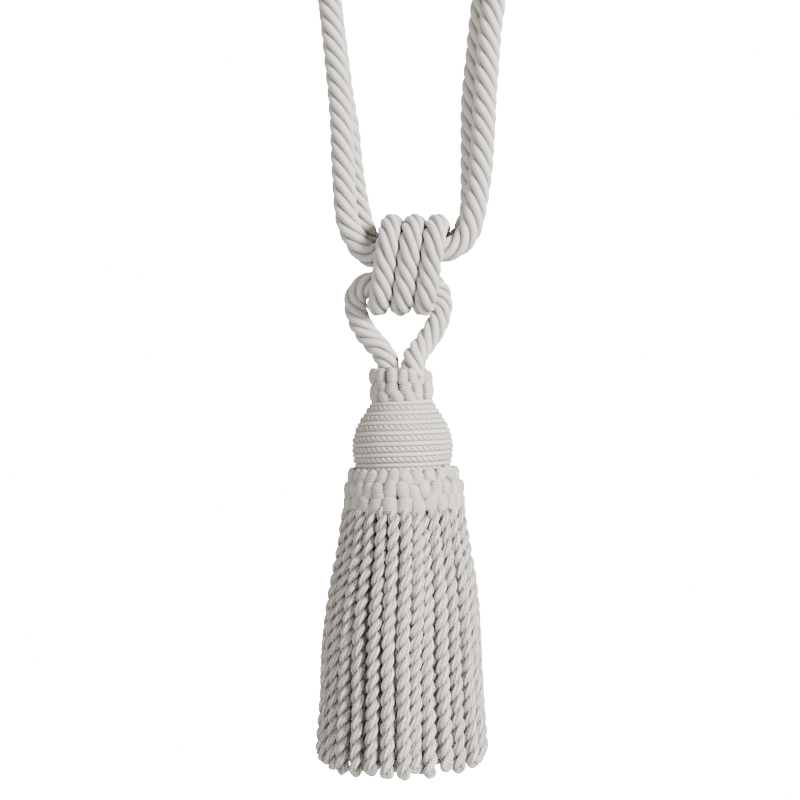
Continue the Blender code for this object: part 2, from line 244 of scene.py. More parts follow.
class YarnMesh:
    """Gathers yarns and turned cores into one mesh, with a thread map, tones and painted shade."""

    def __init__(self) -> None:
        """Starts with nothing in it."""
        self.points: list[np.ndarray] = []
        self.faces: list[tuple[int, ...]] = []
        self.map: list[np.ndarray] = []
        self.tones: list[np.ndarray] = []
        self.painted_shades: list[np.ndarray] = []
        self.count = 0

    def add_rings(
        self, rings: np.ndarray, along: np.ndarray, tone: float, painted_shade: np.ndarray, way: int = 1
    ) -> None:
        """Joins rings of points with faces and closes both ends.

        Args:
            rings: the points, ring by ring.
            along: how far along each ring lies, for the thread map.
            tone: how light the whole is, from 0 to 1.
            painted_shade: how much painted shade each point has, from 0 to 1.
            way: 1 if the thread map runs round with the points, and -1 if it runs against them.
        """
        count, sides = rings.shape[:2]
        rows = np.arange(count - 1)[:, None] * sides + self.count
        first = np.arange(sides)[None, :]
        second = (first + 1) % sides
        quads = np.stack([rows + first, rows + second, rows + sides + second, rows + sides + first], axis=-1)
        self.faces += [tuple(quad) for quad in quads.reshape(-1, 4).tolist()]
        around = way * np.stack([first, first + 1, first + 1, first], axis=-1) / sides
        lengths = np.stack([along[:-1], along[:-1], along[1:], along[1:]], axis=-1)[:, None, :]
        self.map.append(np.stack(np.broadcast_arrays(around, lengths), axis=-1).reshape(-1, 2))
        start = np.arange(sides) + self.count
        end = start + (count - 1) * sides
        self.faces += [tuple(start[::-1].tolist()), tuple(end.tolist())]
        self.map.append(np.zeros((2 * sides, 2)))
        self.points.append(rings.reshape(-1, 3))
        self.tones.append(np.full(count * sides, tone))
        self.painted_shades.append(painted_shade.reshape(-1))
        self.count += count * sides

    def add_yarn(
        self,
        line: np.ndarray,
        outward: np.ndarray,
        section: Section,
        tone: float,
        scale: float | np.ndarray = 1.0,
        wraps: float | np.ndarray = 0.0,
        slant: float | np.ndarray = 0.0,
    ) -> None:
        """Sweeps a section along a line and closes both ends.

        Args:
            line: the yarn's middle, one point for each ring.
            outward: the direction of the section's first half axis at each point.
            section: the cross-section.
            tone: how light this yarn is, from 0 to 1.
            scale: how large the section is at each ring, for both half axes.
            wraps: the least painted shade all round each ring, from 0 to 1, such as between two wrapping
                threads.
            slant: how far each ring leans along the yarn, as a share of its own width.
        """
        ways = unit(np.gradient(line, axis=0))
        out = unit(outward - np.sum(outward * ways, axis=1, keepdims=True) * ways)
        side = np.cross(ways, out) + np.reshape(slant, (-1, 1)) * ways
        along = distance_along(line)
        angles = np.arange(section.sides)[None, :] * FULL_TURN / section.sides
        reach = np.ones((len(line), section.sides))
        # Painted shade, darker on the sides that turn in towards the neighbouring strands
        painted_side_shade = np.clip((1 - np.cos(angles)) * PAINTED_SHADE_SPREAD - PAINTED_SHADE_START, 0, 1)
        painted_shade = np.maximum(painted_side_shade * reach, np.reshape(wraps, (-1, 1)))
        # The dips between the finer yarns, with painted shade in them
        if section.lobes:
            dips = np.cos(section.lobes * (angles - FULL_TURN * along[:, None] / section.lobe_lay))
            reach -= section.lobe_depth * dips
            painted_shade = np.maximum(painted_shade, section.lobe_painted_shade * np.clip(dips, 0, 1) ** 2)
        reach *= np.reshape(scale, (-1, 1))
        x = section.outward * np.cos(angles) * reach
        y = section.sideways * np.sin(angles) * reach
        rings = line[:, None, :] + x[:, :, None] * out[:, None, :] + y[:, :, None] * side[:, None, :]
        self.add_rings(rings, along, tone, painted_shade)

    def piece(self, name: str, finish: YarnFinish) -> Piece:
        """Makes what was gathered one object in its finish, on the one body.

        Args:
            name: the piece's name.
            finish: what it is dressed in.

        Returns:
            The new object, linked to the scene.
        """
        mesh = bpy.data.meshes.new(name)
        mesh.from_pydata(np.vstack(self.points).tolist(), [], self.faces)
        threads = mesh.uv_layers.new(name="threads")
        threads.data.foreach_set("uv", np.vstack(self.map).astype(np.float32).ravel())
        # Each point's own tone, and its painted shade
        for label, values in (("tone", self.tones), ("painted_shade", self.painted_shades)):
            layer = mesh.attributes.new(label, "FLOAT", "POINT")
            layer.data.foreach_set("value", np.concatenate(values).astype(np.float32))
        mesh.shade_smooth()
        mesh.materials.append(finish.material())
        item = linked(name, mesh)
        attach(item, "root")
        return item


def turned_piece(name: str, outline: Pairs, finish: YarnFinish, shade: float = 0.0) -> Piece:
    """A closed outline of radius and height turned round the tassel's axis.

    Args:
        name: the piece's name.
        outline: radius and height in millimetres, down the outside.
        finish: what it is dressed in.
        shade: how much painted shade it has, as a share of the finish's painted shade colour, from 0 to 1.

    Returns:
        The new object.
    """
    turns = -np.arange(TURNED_SIDES) * FULL_TURN / TURNED_SIDES
    radii, heights = np.array(outline).T[:, :, None]
    columns = place(radii * np.cos(turns), radii * np.sin(turns), heights)
    rings = np.stack(np.broadcast_arrays(*columns), axis=-1)
    mesh = YarnMesh()
    # The same painted shade all over
    mesh.add_rings(rings, distance_along(rings[:, 0]), 0.0, np.full(rings.shape[:2], shade), way=-1)
    item = mesh.piece(name, finish)
    item.data.set_sharp_from_angle(angle=SMOOTH_UP_TO)
    return item


@dataclass(frozen=True)
class YarnFinish:
    """A spun furnishing yarn: fine threads laid across it, uneven in tone, with a soft sheen and painted
    shade.
    """

    shade: Shade
    light: Triple
    dark: Triple
    thread_pitch: float
    threads_around: int
    thread_relief: float
    # How much of the painted shade colour the most shaded points get, and that dark brown colour
    painted_shade_strength: float = 0.72
    painted_shade_colour: Triple = (0.17, 0.145, 0.12)
    roughness: float = 0.72
    specular: float = 0.3
    sheen: float = 0.35
    sheen_roughness: float = 0.45
    fibre_scale: float = 1400.0
    fibre_detail: float = 2.0
    fibre_relief: float = 0.00008
    blotch_scale: float = 90.0
    blotch_detail: float = 3.0
    speckle: float = 1.8
    # How much the threads, the fibres, the blotches and each yarn's own tone count in its colour
    shares: tuple[float, float, float, float] = (0.30, 0.22, 0.22, 0.26)

    def material(self) -> bpy.types.Material:
        """The finish's own material, made once and then shared."""
        name = f"{self.shade.value} yarn"
        return bpy.data.materials.get(name) or self.new_material(name)

    def new_material(self, name: str) -> bpy.types.Material:
        """Builds the node tree.

        Args:
            name: the material's name.

        Returns:
            A material that reads the thread map, each yarn's tone and each point's painted shade.
        """
        material = bpy.data.materials.new(name)
        material.use_nodes = True
        weave = Weave(material.node_tree)
        threads = weave.threads(self.thread_pitch, self.threads_around)
        fibres = weave.noise(self.fibre_scale, self.fibre_detail)
        blotches = weave.noise(self.blotch_scale, self.blotch_detail)
        grain = weave.stretched(fibres, self.speckle)
        parts = (threads, grain, blotches, weave.attribute("tone"))
        colour = weave.ramp(weave.weighted(tuple(zip(parts, self.shares))), self.dark, self.light)
        # Painted shade: the colour mixed towards dark brown where the points are shaded
        colour = weave.mixed(colour, self.painted_shade_colour, weave.attribute("painted_shade"), self.painted_shade_strength)
        relief = weave.bump(fibres, self.fibre_relief, Normal=weave.bump(threads, self.thread_relief))
        looks = {
            "Base Color": colour,
            "Normal": relief,
            "Roughness": self.roughness,
            "Metallic": 0.0,
            "Specular IOR Level": self.specular,
            "Sheen Weight": self.sheen,
            "Sheen Roughness": self.sheen_roughness,
        }
        weave.fill(material.node_tree.nodes["Principled BSDF"], looks)
        return material


class Weave:
    """Small helpers that add nodes to one material's tree."""

    def __init__(self, tree: bpy.types.NodeTree) -> None:
        """Keeps the tree that the nodes go in."""
        self.tree = tree

    def fill(self, node: bpy.types.Node, inputs: dict[str | int, object]) -> None:
        """Links or sets a node's inputs.

        Args:
            node: the node.
            inputs: a socket to link or a value to set, by the input's name or number.
        """
        for name, value in inputs.items():
            if isinstance(value, Socket):
                self.tree.links.new(value, node.inputs[name])
            else:
                node.inputs[name].default_value = value

    def node(self, kind: str, inputs: dict[str | int, object], **settings: str) -> bpy.types.Node:
        """Adds one node.

        Args:
            kind: Blender's name for its type.
            inputs: what fill() takes.
            settings: the node's own settings.

        Returns:
            The node.
        """
        node = self.tree.nodes.new(kind)
        for name, value in settings.items():
            setattr(node, name, value)
        self.fill(node, inputs)
        return node

    def math(self, operation: str, *values: Socket | float) -> Socket:
        """The operation's result on these sockets or numbers."""
        return self.node("ShaderNodeMath", dict(enumerate(values)), operation=operation).outputs[0]

    def attribute(self, name: str) -> Socket:
        """A number stored on the mesh's points."""
        return self.node("ShaderNodeAttribute", {}, attribute_name=name).outputs["Fac"]

    def stretched(self, value: Socket, by: float) -> Socket:
        """The value with its difference from a half made larger."""
        return self.math("MULTIPLY_ADD", self.math("SUBTRACT", value, 0.5), by, 0.5)

    def threads(self, pitch: float, around: int) -> Socket:
        """Fine threads that wind along a yarn.

        Args:
            pitch: the distance along the yarn between two threads.
            around: how many threads pass on the way once round it, which sets their slope.

        Returns:
            A height from 0, between two threads, to 1, on the crown of one.
        """
        thread_map = self.node("ShaderNodeUVMap", {}, uv_map="threads").outputs["UV"]
        split = self.node("ShaderNodeSeparateXYZ", {0: thread_map})
        along = self.math("MULTIPLY", split.outputs[1], FULL_TURN / pitch)
        turned = self.math("MULTIPLY", split.outputs[0], FULL_TURN * around)
        wave = self.math("SINE", self.math("ADD", along, turned))
        return self.math("MULTIPLY_ADD", wave, 0.5, 0.5)

    def noise(self, scale: float, detail: float) -> Socket:
        """Noise fixed to the object, from 0 to 1: blotches to a metre, and how many finer layers."""
        where = {"Vector": self.node("ShaderNodeTexCoord", {}).outputs["Object"]}
        return self.node("ShaderNodeTexNoise", {"Scale": scale, "Detail": detail, **where}).outputs[0]

    def weighted(self, parts: tuple[tuple[Socket, float], ...]) -> Socket:
        """Adds up sockets.

        Args:
            parts: each socket with its weight.

        Returns:
            The weighted sum.
        """
        total = self.math("MULTIPLY", *parts[0])
        for part in parts[1:]:
            total = self.math("ADD", total, self.math("MULTIPLY", *part))
        return total

    def ramp(self, value: Socket, dark: Triple, light: Triple) -> Socket:
        """A colour between dark and light.

        Args:
            value: where on the ramp, from 0 to 1.
            dark: the colour at the low end.
            light: the colour at the high end.

        Returns:
            The colour.
        """
        node = self.node("ShaderNodeValToRGB", {0: value})
        for element, position, colour in zip(node.color_ramp.elements, RAMP_ENDS, (dark, light)):
            element.position = position
            element.color = (*colour, 1.0)
        return node.outputs[0]

    def mixed(self, colour: Socket, painted_shade_colour: Triple, painted_shade: Socket, most: float) -> Socket:
        """The colour, with up to this share of a painted shade colour where the points are shaded."""
        # A Mix node keeps its colours in inputs 6 and 7 and output 2
        inputs = {"Factor": self.math("MULTIPLY", painted_shade, most), 6: colour, 7: (*painted_shade_colour, 1.0)}
        return self.node("ShaderNodeMix", inputs, data_type="RGBA").outputs[2]

    def bump(self, height: Socket, relief: float, **below: Socket) -> Socket:
        """The normal of relief this many metres high, over the one that Normal gives, if any."""
        inputs = {"Distance": relief, "Strength": 1.0, "Height": height, **below}
        return self.node("ShaderNodeBump", inputs).outputs[0]


ROPE_FINISH = YarnFinish(
    Shade.ROPE,
    light=(0.64, 0.605, 0.55),
    dark=(0.50, 0.467, 0.415),
    thread_pitch=0.00042,
    threads_around=2,
    thread_relief=0.00006,
    painted_shade_strength=0.5,
)
RUFF_FINISH = YarnFinish(
    Shade.RUFF,
    light=(0.60, 0.558, 0.505),
    dark=(0.41, 0.375, 0.33),
    thread_pitch=0.00045,
    threads_around=1,
    thread_relief=0.00007,
    sheen=0.25,
    speckle=3.0,
)
MOULD_FINISH = YarnFinish(
    Shade.MOULD,
    light=(0.68, 0.64, 0.58),
    dark=(0.45, 0.415, 0.37),
    thread_pitch=0.0004,
    threads_around=1,
    thread_relief=0.00004,
    sheen=0.3,
)
BULLION_FINISH = YarnFinish(
    Shade.BULLION,
    light=(0.84, 0.795, 0.73),
    dark=(0.34, 0.308, 0.266),
    thread_pitch=0.00175,
    threads_around=6,
    thread_relief=0.00016,
    painted_shade_strength=0.6,
    roughness=0.8,
    fibre_relief=0.00024,
    speckle=3.5,
    shares=(0.42, 0.24, 0.12, 0.22),
)


@dataclass
class LaidRope:
    """Five smooth strands laid round a heart along a route."""

    name: str
    node: str
    radius: float
    lay: float = 0.0312
    strands: int = 5
    strand_share: float = 0.345
    strand_width: float = 1.01
    heart_share: float = 0.37
    # Painted shade on the heart, which shows dark between the strands
    heart_painted_shade: float = 0.6
    heart_tone: float = 0.4
    heart_sides: int = 8
    tones: Pair = (0.3, 0.7)
    ring_step: float = 0.00125
    sides: int = 14
    hand: Hand = Hand.S
    seed: int = 3

    def lay_along(self, rows: Rows, first: Triple) -> tuple[Piece, np.ndarray]:
        """Builds the rope along a route.

        Args:
            rows: the route's points in metres, with the girth's share as an optional fourth column.
            first: roughly the direction of the first strand at the route's start.

        Returns:
            The rope, and its middle line.
        """
        route = smooth_route(rows, self.ring_step)
        line = route[:, :3]
        girth = route[:, 3] if route.shape[1] > 3 else np.ones(len(route))
        along = distance_along(line)
        sides, ups = carried_frames(line, first)
        strand = self.radius * self.strand_share
        section = Section(outward=strand, sideways=strand * self.strand_width, sides=self.sides)
        chance = random.Random(self.seed)
        yarns = YarnMesh()
        for index in range(self.strands):
            outward = turned(index / self.strands + self.hand.value * along / self.lay, sides, ups)
            middle = line + outward * (girth * (self.radius - strand))[:, None]
            yarns.add_yarn(middle, outward, section, chance.uniform(*self.tones), girth)
        heart_radius = self.radius * self.heart_share
        heart = Section(heart_radius, heart_radius, sides=self.heart_sides)
        # The heart, with painted shade where it shows between the strands
        shade = np.full(len(line), self.heart_painted_shade)
        yarns.add_yarn(line, sides, heart, self.heart_tone, girth, shade)
        rope = yarns.piece(self.name, ROPE_FINISH)
        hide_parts(self.node)
        return rope, line


@dataclass
class EmbraceRope:
    """The doubled rope: a front and a back run on each side, and an eye over each hook."""

    rope: LaidRope = field(
        default_factory=lambda: LaidRope("embrace_rope_laid", "embrace_rope", radius=0.0049, sides=12)
    )
    run_depth: float = 4.95
    run_height: float = 6.2
    eye_across: float = 49.5
    eye_radius: float = 11.0
    eye_steps: int = 7
    eye_open_angle: float = math.radians(20)
    butt_gap: float = 1.0
    # Where the runs pass inside the coil: two places across for the front one, one for the back one
    front_inside: Pair = (-3.0, 8.0)
    back_inside: float = 10.0
    # Columns of the four runs: across, height
    left_front: Pairs = (
        (-8.0, 4.0), (-12.4, 3.4), (-16.1, 6.1), (-18.7, 10.1), (-20.9, 14.8), (-22.2, 20.6),
        (-22.9, 30.0), (-23.6, 42.8), (-24.0, 55.6), (-25.0, 68.8), (-26.4, 82.8), (-28.8, 106.0),
        (-34.2, 150.0), (-41.0, 200.0), (-45.6, 232.0),
    )
    left_back: Pairs = (
        (-8.4, 6.4), (-12.6, 9.6), (-15.6, 15.6), (-17.4, 22.8), (-18.8, 30.0), (-20.6, 42.8),
        (-21.8, 55.6), (-24.1, 68.8), (-25.9, 82.8), (-29.0, 106.0), (-34.4, 150.0), (-41.2, 200.0),
        (-45.6, 232.0),
    )
    right_front: Pairs = (
        (17.4, 5.6), (22.8, 8.0), (26.4, 12.6), (28.3, 18.8), (29.4, 24.5), (31.2, 36.4), (32.4, 52.8),
        (33.0, 66.0), (34.0, 79.6), (35.0, 92.8), (36.8, 106.0), (41.0, 150.0), (45.4, 200.0),
        (48.0, 232.0),
    )
    right_back: Pairs = (
        (18.6, 6.8), (23.0, 10.6), (25.8, 15.6), (27.6, 20.8), (28.1, 28.0), (28.2, 39.6), (28.2, 50.0),
        (28.4, 66.0), (30.0, 82.8), (32.4, 106.0), (38.0, 150.0), (44.0, 200.0), (47.8, 232.0),
    )

    def eye_rows(self, across: float, way: int) -> Rows:
        """The bight over a hook.

        Args:
            across: the eye's place.
            way: 1 from the back run to the front run, and -1 the other way.

        Returns:
            The rows from one run to the other.
        """
        middle = KNOT_DROP + self.rope.radius / MM - self.eye_radius
        rows = []
        for angle in np.linspace(-self.eye_open_angle, math.pi + self.eye_open_angle, self.eye_steps):
            depth = way * self.eye_radius * math.cos(angle)
            rows.append((across, depth, middle + self.eye_radius * math.sin(angle)))
        return rows

    def run_rows(self, table: Pairs, depth: float) -> Rows:
        """A run's rows at its depth."""
        return [(across, depth, height) for across, height in table]

    def route(self) -> Rows:
        """From the knot up the left back run, over the eye, down the front, and the same on the right.

        Returns:
            The rope's rows, in millimetres.
        """
        back, height = self.run_depth, self.run_height
        rows = [(-self.butt_gap / 2, back, height)]
        rows += self.run_rows(self.left_back, back)
        rows += self.eye_rows(-self.eye_across, 1)
        rows += reversed(self.run_rows(self.left_front, -back))
        rows += [(across, -back, height) for across in self.front_inside]
        rows += self.run_rows(self.right_front, -back)
        rows += self.eye_rows(self.eye_across, -1)
        rows += reversed(self.run_rows(self.right_back, back))
        rows += [(across, back, height) for across in (self.back_inside, self.butt_gap / 2)]
        return rows

    def build(self) -> list[Piece]:
        """Returns:
            The rope alone.
        """
        rope, line = self.rope.lay_along(in_metres(self.route()), (0.0, 0.0, 1.0))
        return [rope]


@dataclass
class KnotCoil:
    """Three turns held taut round the two runs and the loop's top."""

    rope: LaidRope = field(
        default_factory=lambda: LaidRope(
            "knot_coil_laid", "knot_coil", radius=0.00462, lay=0.030, ring_step=0.0008, seed=5
        )
    )
    run_depth: float = 4.95
    run_height: float = 6.2
    loop_top_height: float = -6.65
    offset: float = 9.4
    across: float = -9.5
    pitch: float = 9.0
    lean: float = 0.75
    start: float = -0.02
    end: float = 2.71
    points_per_turn: int = 40

    def outline(self) -> np.ndarray:
        """The closed line drawn taut round the two runs and the loop, clockwise from its lowest point.

        Returns:
            Its points' depth and height, in even steps.
        """
        corners = (
            (-self.run_depth, self.run_height),
            (0.0, self.loop_top_height),
            (self.run_depth, self.run_height),
        )
        centres = [np.array(corner) for corner in corners]
        outline = []
        for index, centre in enumerate(centres):
            before = centre - centres[index - 1]
            after = centres[(index + 1) % len(centres)] - centre
            start = math.atan2(-before[0], before[1])
            end = math.atan2(-after[0], after[1])
            if end < start:
                end += FULL_TURN
            for angle in np.linspace(start, end, SPLINE_STEPS):
                outline.append(centre + self.offset * np.array([math.cos(angle), math.sin(angle)]))
        outline.reverse()
        lowest = min(range(len(outline)), key=lambda index: outline[index][1])
        closed = np.array(outline[lowest:] + outline[: lowest + 1])
        along = distance_along(closed)
        marks = np.linspace(0, along[-1], self.points_per_turn, endpoint=False)
        return np.column_stack([np.interp(marks, along, column) for column in closed.T])

    def route(self) -> Rows:
        """Turns that climb the front and go down the back, leaning more in front than behind.

        Returns:
            The rope's rows, in millimetres.
        """
        outline = self.outline()
        rows = []
        first = round(self.start * self.points_per_turn)
        last = round(self.end * self.points_per_turn)
        for index in range(first, last + 1):
            turn = index / self.points_per_turn
            lean = self.lean * (1 - math.cos(FULL_TURN * turn))
            depth, height = outline[index % self.points_per_turn]
            rows.append((self.across + self.pitch * turn + lean, depth, height))
        return rows

    def build(self) -> list[Piece]:
        """Lays the turns."""
        return [self.rope.lay_along(in_metres(self.route()), (0.0, 0.0, -1.0))[0]]


@dataclass
class TasselLoop:
    """The loop that carries the tassel, from its neck through the coil and back."""

    rope: LaidRope = field(
        default_factory=lambda: LaidRope(
            "tassel_loop_laid", "tassel_loop", radius=0.00475, lay=0.028, ring_step=0.0008, seed=9
        )
    )
    # Columns: across, depth, height, girth
    rows: tuple[tuple[float, float, float, float], ...] = (
        (-4.4, -3.4, -43.6, 0.8), (-5.8, -2.8, -38.8, 1.0), (-7.9, -2.0, -34.8, 1.0),
        (-11.4, 0.0, -30.8, 1.0), (-14.6, 1.6, -26.8, 1.0), (-17.8, 3.8, -20.6, 1.0),
        (-18.8, 4.6, -13.6, 1.0), (-16.0, 3.0, -8.8, 1.0), (-11.2, 0.8, -6.8, 1.0),
        (-5.0, 0.0, -6.65, 1.0), (5.0, 0.0, -6.65, 1.0), (11.2, 0.6, -6.9, 0.97),
        (14.6, 2.2, -9.6, 0.93), (16.1, 3.6, -14.6, 0.93), (15.1, 3.4, -20.8, 0.97),
        (12.6, 2.0, -26.2, 1.0), (8.6, 0.4, -32.0, 1.0), (5.2, -3.6, -36.6, 1.06),
        (4.4, -6.6, -41.0, 1.06), (5.2, -8.0, -45.8, 0.8),
    )

    def build(self) -> list[Piece]:
        """Lays the loop."""
        return [self.rope.lay_along(in_metres(list(self.rows)), (1.0, 0.0, 0.0))[0]]


@dataclass
class Stitch:
    """One thread-wrapped half hitch of a ruff."""

    angle: float
    height: float
    lean: float
    width: float
    length: float
    row: int


@dataclass
class Ruff:
    """A collar of raised stitches over a plain core."""

    name: str
    # Columns: radius over the stitches, shift to the right; one row for each row of stitches
    rows: Pairs
    # Columns: radius, height
    core: Pairs
    # Columns of a row of the front: angle from the front, height, lean, width, length
    front: tuple[tuple[tuple[float, float, float, float, float], ...], ...]
    back_step: float
    bulge: float = 0.8
    bulge_power: float = 0.7
    thickness: float = 0.4
    fullness: float = 1.02
    end_shrink: float = 0.93
    end_power: float = 4.0
    rings: int = 30
    sides: int = 16
    wrap_pitch: float = 0.95
    wrap_power: float = 0.6
    wrap_relief: float = 0.07
    # Where the painted shade between the wrapping threads starts
    wrap_shade_start: float = 0.2
    most_slant: float = 0.55
    unevenness: float = 0.25
    # Painted shade on the core, which shows dark in the gaps between the stitches
    core_painted_shade: float = 0.95
    tones: Pair = (0.2, 0.8)
    # The even stitches round the back, and how far they may differ
    back_leans: tuple[float, ...] = (-18.0, -8.0, 6.0, 16.0)
    back_width: float = 5.0
    height_spread: float = 0.25
    width_spread: float = 0.3
    length_spread: float = 0.4
    seed: int = 11

    def all_stitches(self) -> list[Stitch]:
        """The front's stitches as they are, and even ones for the rest of each row.

        Returns:
            The stitches, row by row.
        """
        chance = random.Random(self.seed)
        stitches = []
        for level, row in enumerate(self.front):
            placed = [Stitch(*values, level) for values in row]
            stitches += placed
            last, first = placed[-1], placed[0]
            span = CIRCLE + first.angle - last.angle
            count = round(span / self.back_step) - 1
            for index in range(count):
                share = (index + 1) / (count + 1)
                stitches.append(
                    Stitch(
                        last.angle + span * share,
                        between((last.height, first.height), share) + either_way(chance, self.height_spread),
                        chance.choice(self.back_leans),
                        self.back_width + either_way(chance, self.width_spread),
                        first.length + either_way(chance, self.length_spread),
                        level,
                    )
                )
        return stitches

    def add_stitch(self, yarns: YarnMesh, stitch: Stitch, chance: random.Random) -> None:
        """Builds one stitch where it sits.

        Args:
            yarns: the mesh that it goes in.
            stitch: its place, lean and size.
            chance: where its tone, its wraps' slant and its depth come from.
        """
        angle = math.radians(stitch.angle)
        lean = math.radians(stitch.lean)
        outward = np.array([math.sin(angle), -math.cos(angle), 0.0])
        across = np.array([math.cos(angle), math.sin(angle), 0.0])
        down = np.array([0.0, 0.0, -1.0]) * math.cos(lean) + across * math.sin(lean)
        share = np.linspace(0.0, 1.0, self.rings)
        swell = (1 - np.abs(2 * share - 1) ** self.end_power * self.end_shrink) ** 0.5
        outer, shift = self.rows[stitch.row]
        thick = self.thickness * stitch.width
        middle = np.array(place(shift, 0.0, stitch.height))
        outer += either_way(chance, self.unevenness)
        radius = outer - thick + self.bulge * (np.sin(math.pi * share) ** self.bulge_power - 1.0)
        from_middle = outward * radius[:, None] + down * (stitch.length * (share - 0.5))[:, None]
        turned = math.pi * share * stitch.length / self.wrap_pitch
        wraps = 2 * np.abs(np.sin(turned)) ** self.wrap_power - 1
        scale = swell * (1 + self.wrap_relief * wraps)
        half_width = 0.5 * stitch.width * self.fullness
        section = Section(outward=thick * MM, sideways=half_width * MM, sides=self.sides)
        # Painted shade where the stitch dips between its wrapping threads
        painted_wrap_shade = np.clip(self.wrap_shade_start - wraps, 0, 1)
        outwards = np.tile(outward, (self.rings, 1))
        slant = either_way(chance, self.most_slant) * np.sin(math.pi * share)
        tone = chance.uniform(*self.tones)
        yarns.add_yarn(middle + MM * from_middle, outwards, section, tone, scale, painted_wrap_shade, slant)

    def build(self) -> list[Piece]:
        """Makes the stitches and the core behind them.

        Returns:
            The two pieces.
        """
        chance = random.Random(self.seed + 1)
        yarns = YarnMesh()
        for stitch in self.all_stitches():
            self.add_stitch(yarns, stitch, chance)
        stitches = yarns.piece(f"{self.name}_stitches", RUFF_FINISH)
        core = turned_piece(f"{self.name}_core", self.core, RUFF_FINISH, shade=self.core_painted_shade)
        for item in (stitches, core):
            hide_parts(self.name)
        return [stitches, core]


# The two rows of stitches round the mould's neck
NECK_RUFF = Ruff(
    name="neck_ruff",
    rows=((13.0, -0.4), (13.1, -0.1)),
    core=((9.6, -41.0), (10.2, -42.6), (10.4, -48.0), (10.4, -52.5), (10.2, -55.4)),
    front=(
        (
            (-84.0, -44.6, 4.0, 4.9, 6.4), (-64.0, -44.4, -24.0, 4.8, 5.8),
            (-44.0, -44.9, 0.0, 4.8, 6.6), (-17.8, -44.6, 4.0, 4.9, 6.4), (4.4, -45.0, -10.0, 4.4, 6.0),
            (23.6, -44.8, 10.0, 4.4, 6.4), (43.0, -45.0, 0.0, 4.6, 6.0), (62.0, -45.7, 8.0, 4.6, 5.4),
        ),
        (
            (-76.0, -51.0, 6.0, 5.0, 7.6), (-57.0, -49.6, -6.0, 4.4, 5.0),
            (-60.0, -53.2, 10.0, 4.6, 4.6), (-40.0, -48.6, 8.0, 4.0, 4.2),
            (-38.0, -52.6, 30.0, 5.0, 5.4), (-20.5, -49.5, 6.0, 5.2, 5.0),
            (-9.5, -52.6, 36.0, 5.0, 5.2), (8.4, -49.3, -4.0, 5.3, 5.0), (15.4, -52.6, 24.0, 4.9, 5.0),
            (34.0, -50.4, 4.0, 5.0, 8.0), (60.0, -50.4, 4.0, 5.0, 8.0),
        ),
    ),
    back_step=22.5,
    bulge=0.6,
    fullness=0.95,
)
# The three rows of stitches over the bullion's heading
SKIRT_RUFF = Ruff(
    name="skirt_ruff",
    rows=((22.3, 0.5), (24.0, 0.8), (24.4, 0.8)),
    core=((18.4, -81.2), (19.6, -81.6), (20.2, -86.0), (21.2, -88.0), (21.4, -94.4), (18.6, -95.0)),
    front=(
        (
            (-87.0, -84.6, -10.0, 5.0, 7.0), (-74.0, -84.6, -14.0, 5.0, 7.0),
            (-61.0, -84.8, -18.0, 4.8, 7.2), (-49.0, -84.8, -24.0, 4.8, 7.2),
            (-36.6, -84.9, -26.0, 4.9, 7.2), (-23.5, -84.9, -24.0, 5.0, 7.2),
            (-10.6, -84.6, -18.0, 5.2, 7.4), (2.8, -84.5, 28.0, 5.2, 7.2), (15.5, -85.0, 6.0, 5.4, 7.4),
            (30.0, -84.0, 14.0, 5.2, 6.6), (44.0, -83.4, -10.0, 5.0, 6.2),
            (60.0, -82.6, 64.0, 5.6, 8.4), (77.0, -83.8, 10.0, 5.2, 6.6),
        ),
        (
            (-88.0, -90.0, 6.0, 5.2, 6.6), (-75.0, -90.0, -6.0, 5.2, 6.6),
            (-62.0, -89.6, 10.0, 5.0, 6.6), (-49.5, -89.4, 14.0, 5.2, 6.8),
            (-38.0, -89.6, -4.0, 5.0, 6.8), (-26.0, -89.9, 10.0, 5.6, 7.4),
            (-13.6, -88.8, -10.0, 5.2, 6.8), (-1.0, -88.9, 16.0, 5.2, 6.8),
            (9.8, -90.0, 10.0, 4.8, 6.2), (21.0, -88.6, 22.0, 5.2, 7.2), (34.0, -88.4, -8.0, 5.4, 6.8),
            (46.5, -88.2, 8.0, 5.2, 6.8), (60.0, -88.6, -8.0, 5.4, 6.8), (74.0, -88.8, 6.0, 5.4, 6.8),
        ),
        (
            (-84.0, -95.0, -6.0, 5.2, 5.8), (-70.0, -94.8, 8.0, 5.4, 6.0),
            (-56.0, -94.6, -10.0, 5.4, 6.0), (-42.5, -94.4, 8.0, 5.4, 6.4),
            (-28.6, -94.9, -8.0, 5.8, 6.6), (-14.0, -94.8, 4.0, 6.2, 6.8), (0.6, -94.6, -2.0, 6.0, 7.0),
            (14.0, -94.8, 26.0, 5.6, 6.8), (27.0, -93.6, -34.0, 5.6, 7.2),
            (40.5, -93.8, 12.0, 5.8, 6.8), (54.0, -94.0, -8.0, 5.6, 6.2), (68.0, -94.0, 8.0, 5.6, 6.2),
            (82.0, -94.2, 0.0, 5.4, 6.0),
        ),
    ),
    back_step=13.0,
    bulge=0.4,
    thickness=0.35,
    fullness=1.06,
    seed=23,
)


